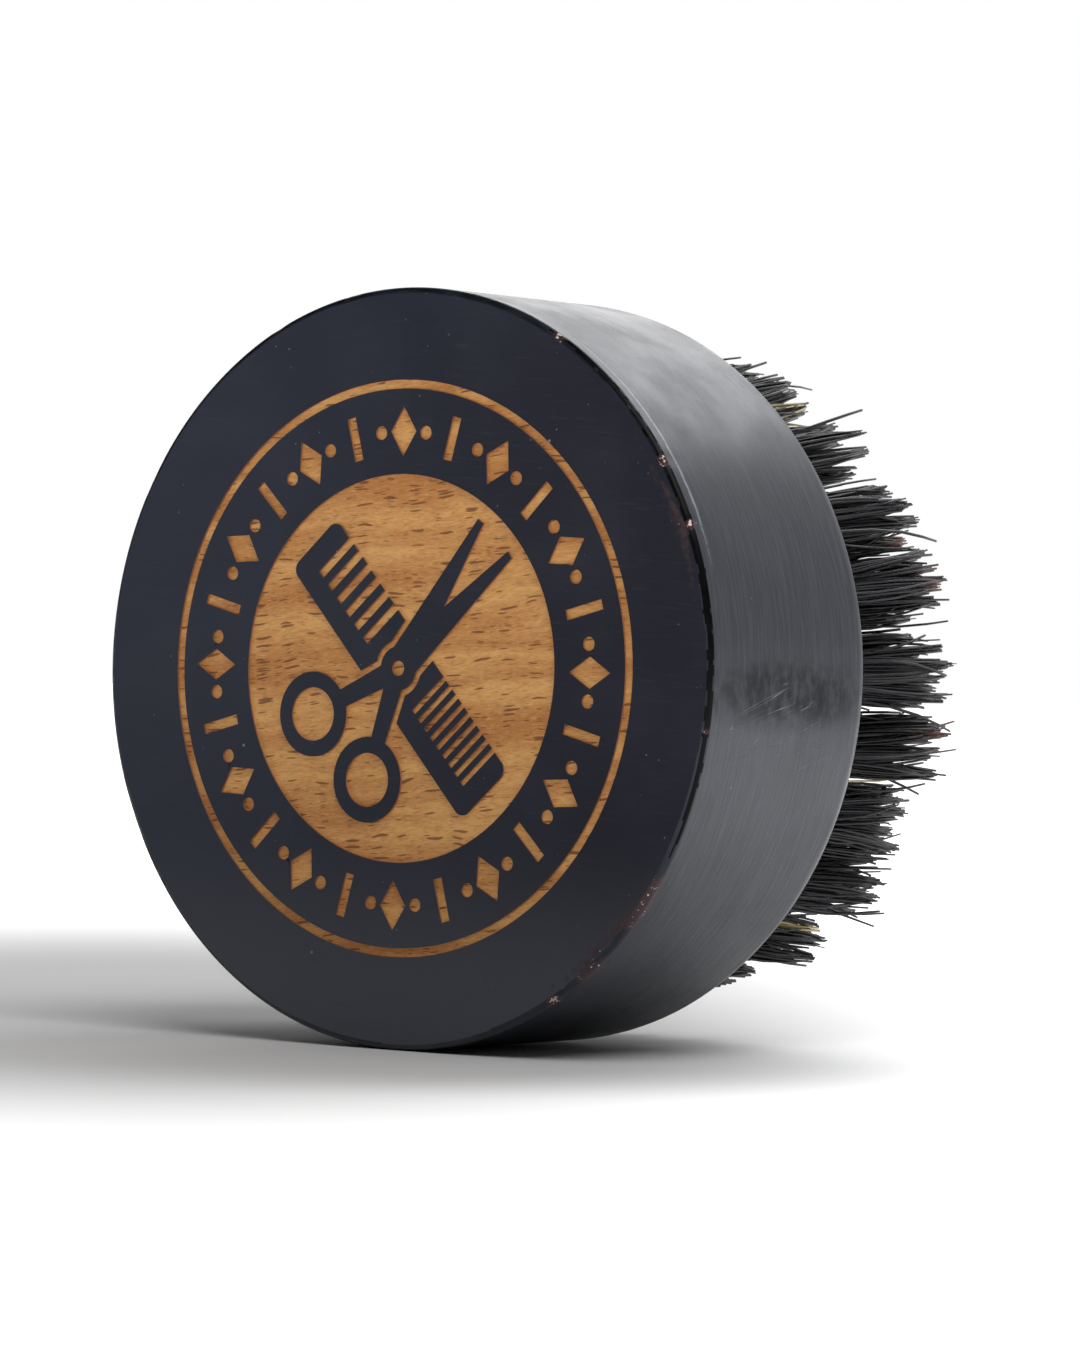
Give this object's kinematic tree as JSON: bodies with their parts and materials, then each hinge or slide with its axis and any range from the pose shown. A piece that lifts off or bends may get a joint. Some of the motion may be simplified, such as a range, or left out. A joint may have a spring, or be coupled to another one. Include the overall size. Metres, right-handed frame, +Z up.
{
  "type": "beard brush",
  "caption": "Round palm beard brush: thick black-stained turned wooden back with an engraved bare-wood emblem on its flat face, and rings of dark bristle tufts on the other side.",
  "frame": {"origin": "on the surface that the brush stands on, under the middle of its bounding box: the lowest line of the wooden rim touches Z = 0", "axes": "+Y along the brush's axis, from the engraved flat face towards the bristle tips; +Z up, the brush standing on its rim; +X to the right of someone facing the engraved face"},
  "size_m": [0.055, 0.0365, 0.055],
  "materials": {
    "painted_beech": "satin",
    "bristle": "satin",
    "anchor_wire": "satin"
  },
  "bodies": {
    "root": {"wooden_back": "painted_beech", "anchors": "anchor_wire", "centre_tufts": "bristle", "inner_tuft_01": "bristle", "inner_tuft_02": "bristle", "inner_tuft_03": "bristle", "inner_tuft_04": "bristle", "inner_tuft_05": "bristle", "inner_tuft_06": "bristle", "inner_tuft_07": "bristle", "inner_tuft_08": "bristle", "inner_tuft_09": "bristle", "inner_tuft_10": "bristle", "inner_tuft_11": "bristle", "inner_tuft_12": "bristle", "middle_tuft_01": "bristle", "middle_tuft_02": "bristle", "middle_tuft_03": "bristle", "middle_tuft_04": "bristle", "middle_tuft_05": "bristle", "middle_tuft_06": "bristle", "middle_tuft_07": "bristle", "middle_tuft_08": "bristle", "middle_tuft_09": "bristle", "middle_tuft_10": "bristle", "middle_tuft_11": "bristle", "middle_tuft_12": "bristle", "middle_tuft_13": "bristle", "middle_tuft_14": "bristle", "middle_tuft_15": "bristle", "middle_tuft_16": "bristle", "middle_tuft_17": "bristle", "middle_tuft_18": "bristle", "outer_tuft_01": "bristle", "outer_tuft_02": "bristle", "outer_tuft_03": "bristle", "outer_tuft_04": "bristle", "outer_tuft_05": "bristle", "outer_tuft_06": "bristle", "outer_tuft_07": "bristle", "outer_tuft_08": "bristle", "outer_tuft_09": "bristle", "outer_tuft_10": "bristle", "outer_tuft_11": "bristle", "outer_tuft_12": "bristle", "outer_tuft_13": "bristle", "outer_tuft_14": "bristle", "outer_tuft_15": "bristle", "outer_tuft_16": "bristle", "outer_tuft_17": "bristle", "outer_tuft_18": "bristle", "outer_tuft_19": "bristle", "outer_tuft_20": "bristle", "outer_tuft_21": "bristle", "outer_tuft_22": "bristle", "outer_tuft_23": "bristle", "outer_tuft_24": "bristle"}
  },
  "joints": []
}
